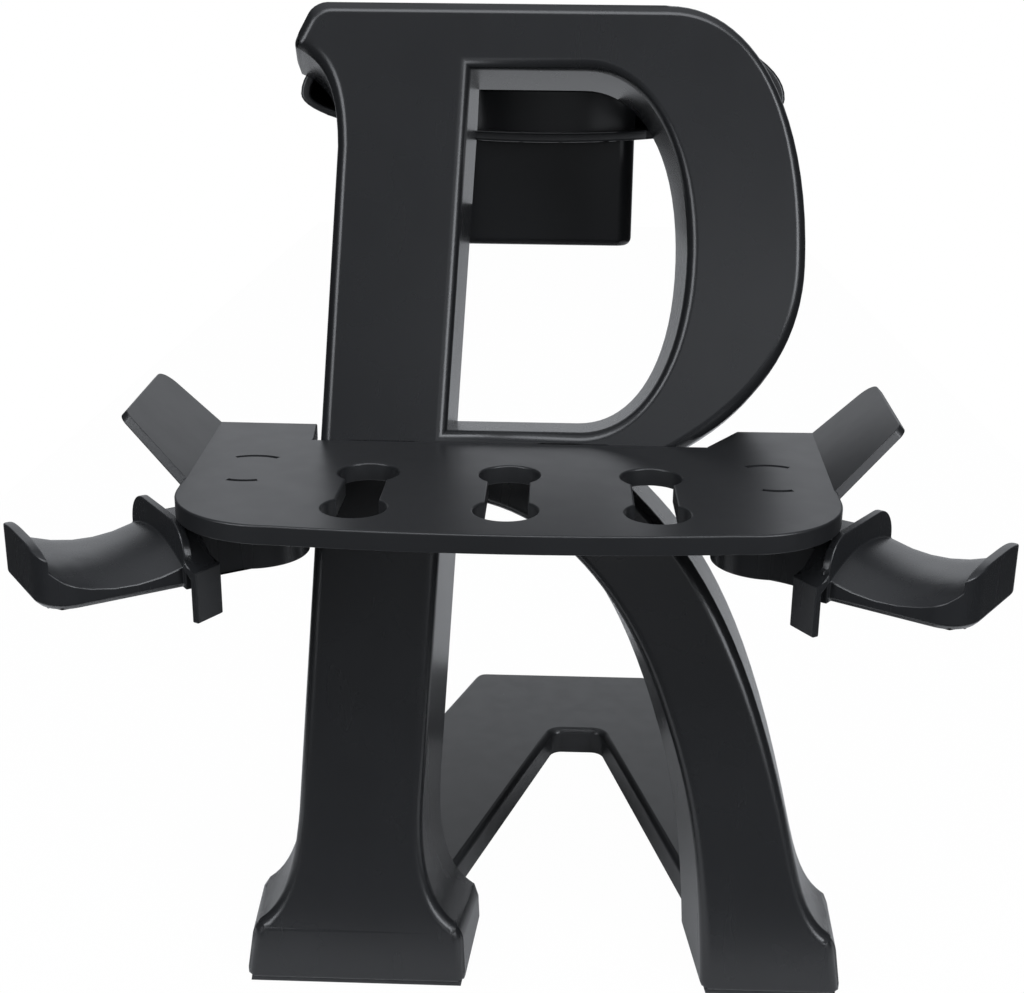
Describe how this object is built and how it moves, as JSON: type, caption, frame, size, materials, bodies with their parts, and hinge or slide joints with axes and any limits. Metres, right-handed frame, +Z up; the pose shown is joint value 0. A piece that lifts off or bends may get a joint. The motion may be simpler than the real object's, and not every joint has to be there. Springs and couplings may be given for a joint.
{
  "type": "virtual reality headset stand",
  "caption": "Desk stand for a virtual reality headset: leaning capital-letter post on a V-shaped base, domed head form behind, shelf with cable holes and side cradles for controllers.",
  "frame": {"origin": "centre of the stand's outline on the floor", "axes": "+X to the viewer's right, +Y from the front to the back, +Z up"},
  "size_m": [0.2628, 0.2476, 0.2833],
  "materials": {
    "stand_plastic": "black satin moulded plastic with a fine grain",
    "pad_rubber": "matte black rubber"
  },
  "bodies": {
    "root": {"letter_frame": "stand_plastic", "shelf": "stand_plastic", "left_arm": "stand_plastic", "right_arm": "stand_plastic", "head_form": "stand_plastic", "base": "stand_plastic", "left_foot_pad": "pad_rubber", "right_foot_pad": "pad_rubber", "rear_pads": "pad_rubber"}
  },
  "joints": []
}
